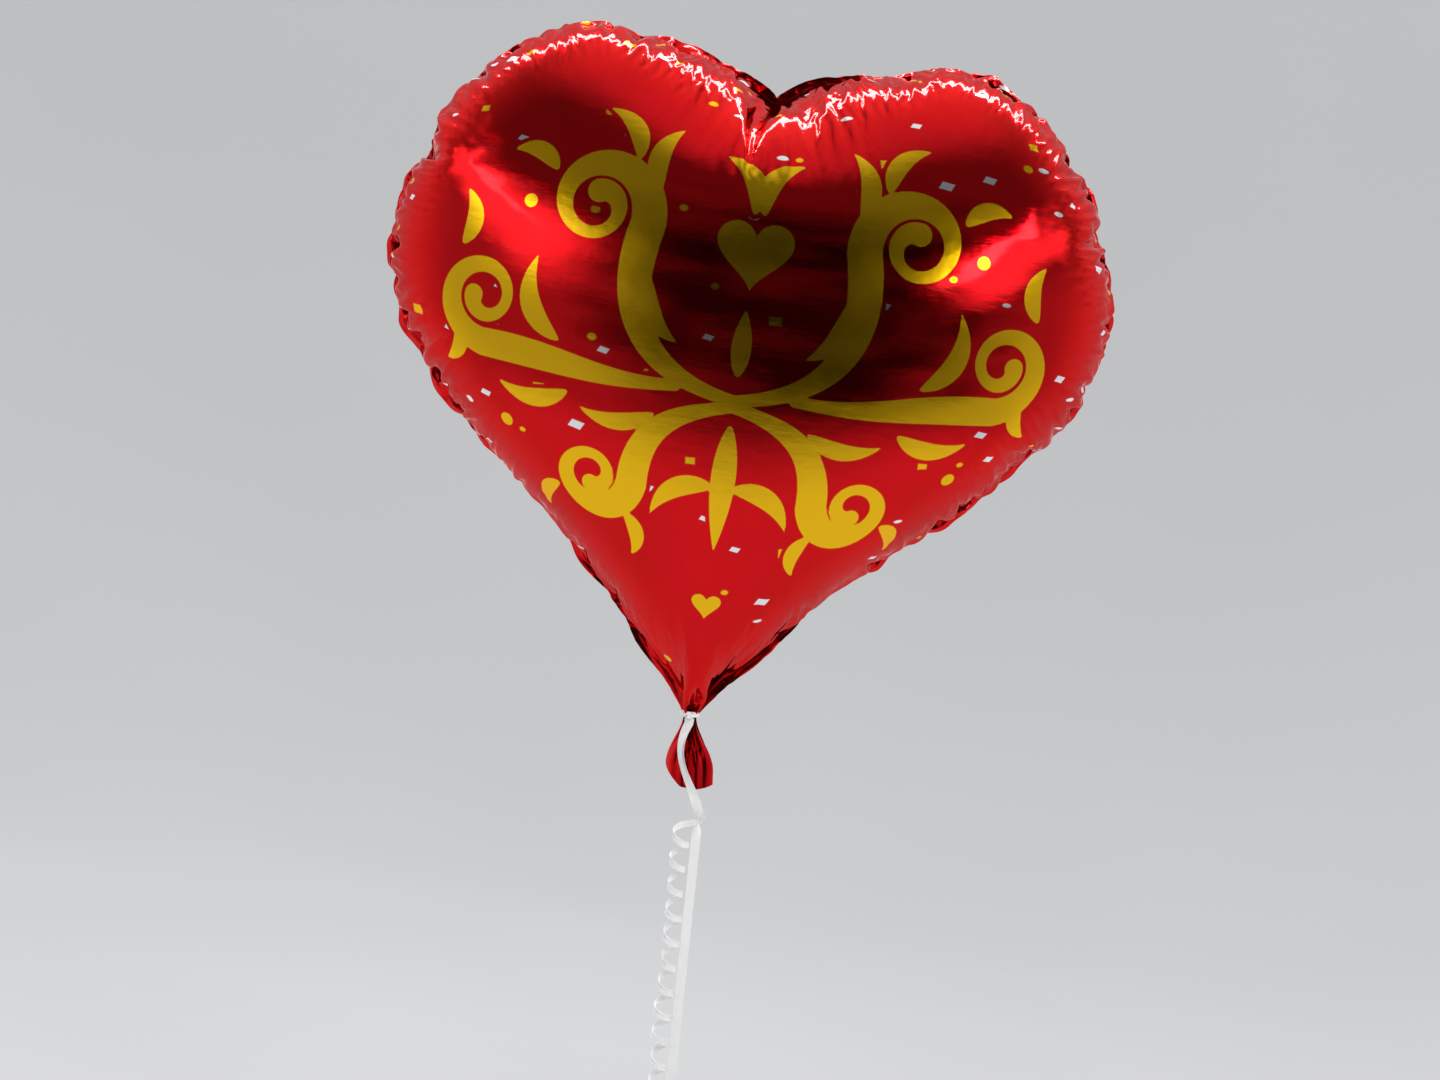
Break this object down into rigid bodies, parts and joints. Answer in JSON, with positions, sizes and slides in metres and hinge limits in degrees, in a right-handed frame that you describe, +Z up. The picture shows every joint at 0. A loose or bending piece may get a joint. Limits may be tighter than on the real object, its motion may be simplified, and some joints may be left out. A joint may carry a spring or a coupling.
{
  "type": "heart-shaped foil balloon",
  "caption": "Heart-shaped foil balloon: domed film panels sealed round the rim, valve leaves inside, tied neck with a folding tab, straight and coiled ribbon tails.",
  "frame": {"origin": "the middle of the tied neck, on the seam plane; the nearest flat face is the underside of the ribbon's wrap (mount tie_underside), 1.6 mm below and 3 mm behind it", "axes": "+Z up the heart's axis from the knot to the cleft, X across the width, -Y out of the printed front panel"},
  "size_m": [0.3758, 0.1882, 0.5717],
  "materials": {
    "foil": "mirror-bright metallised red film, finely fluted at the seam",
    "neck_foil": "the same metallised red film, gathered and creased",
    "valve_film": "frosted clear polyethylene film",
    "ribbon": "pearl white ribbed polypropylene curling ribbon"
  },
  "bodies": {
    "envelope": {"front_panel": "foil", "back_panel": "foil", "ribbon_wrap": "ribbon", "ribbon_knot": "ribbon"},
    "valve_front": {"valve_front_leaf": "valve_film"},
    "valve_back": {"valve_back_leaf": "valve_film"},
    "neck_tab": {"neck_tab_front": "neck_foil", "neck_tab_back": "neck_foil", "valve_front_tail": "valve_film", "valve_back_tail": "valve_film"},
    "ribbon_lead": {"ribbon_lead": "ribbon"},
    "ribbon_straight_1": {"ribbon_straight_1": "ribbon"},
    "ribbon_straight_2": {"ribbon_straight_2": "ribbon"},
    "ribbon_straight_3": {"ribbon_straight_3": "ribbon"},
    "ribbon_straight_4": {"ribbon_straight_4": "ribbon"},
    "ribbon_curl_1": {"ribbon_curl_1": "ribbon"},
    "ribbon_curl_2": {"ribbon_curl_2": "ribbon"},
    "ribbon_curl_3": {"ribbon_curl_3": "ribbon"},
    "ribbon_curl_4": {"ribbon_curl_4": "ribbon"}
  },
  "joints": [
    {"name": "valve_front_open", "type": "hinge", "parent": "envelope", "child": "valve_front", "pos_m": [0, -0.00045, 0.015], "axis": [1, 0, 0], "range_deg": [0, 8]},
    {"name": "valve_back_open", "type": "hinge", "parent": "envelope", "child": "valve_back", "pos_m": [0, 0.00045, 0.015], "axis": [1, 0, 0], "range_deg": [-8, 0]},
    {"name": "tab_fold", "type": "hinge", "parent": "envelope", "child": "neck_tab", "pos_m": [0, 0, -0.0031], "axis": [1, 0, 0], "range_deg": [0, 45]},
    {"name": "ribbon_swing", "type": "hinge", "parent": "envelope", "child": "ribbon_lead", "pos_m": [0, -0.0034, 0], "axis": [0, 1, 0], "range_deg": [-45, 45]},
    {"name": "straight_bend_1", "type": "hinge", "parent": "ribbon_lead", "child": "ribbon_straight_1", "pos_m": [0.0115, -0.0034, -0.053], "axis": [1, 0, 0], "range_deg": [-45, 0]},
    {"name": "straight_bend_2", "type": "hinge", "parent": "ribbon_straight_1", "child": "ribbon_straight_2", "pos_m": [0.01301, -0.0034, -0.095], "axis": [1, 0, 0], "range_deg": [-30, 30]},
    {"name": "straight_bend_3", "type": "hinge", "parent": "ribbon_straight_2", "child": "ribbon_straight_3", "pos_m": [0.01452, -0.0034, -0.137], "axis": [1, 0, 0], "range_deg": [-30, 30]},
    {"name": "straight_bend_4", "type": "hinge", "parent": "ribbon_straight_3", "child": "ribbon_straight_4", "pos_m": [0.01604, -0.0034, -0.179], "axis": [1, 0, 0], "range_deg": [-30, 30]},
    {"name": "curl_bend_1", "type": "hinge", "parent": "ribbon_lead", "child": "ribbon_curl_1", "pos_m": [0.01125, -0.00233, -0.053], "axis": [1, 0, 0], "range_deg": [0, 45]},
    {"name": "curl_bend_2", "type": "hinge", "parent": "ribbon_curl_1", "child": "ribbon_curl_2", "pos_m": [0.00546, -0.0076, -0.09075], "axis": [1, 0, 0], "range_deg": [-30, 30]},
    {"name": "curl_bend_3", "type": "hinge", "parent": "ribbon_curl_2", "child": "ribbon_curl_3", "pos_m": [0.00686, -0.0076, -0.12975], "axis": [1, 0, 0], "range_deg": [-30, 30]},
    {"name": "curl_bend_4", "type": "hinge", "parent": "ribbon_curl_3", "child": "ribbon_curl_4", "pos_m": [0.00827, -0.0076, -0.16875], "axis": [1, 0, 0], "range_deg": [-30, 30]}
  ],
  "couplings": [
    {"joint": "valve_back_open", "follows": "valve_front_open", "ratio": -1}
  ]
}
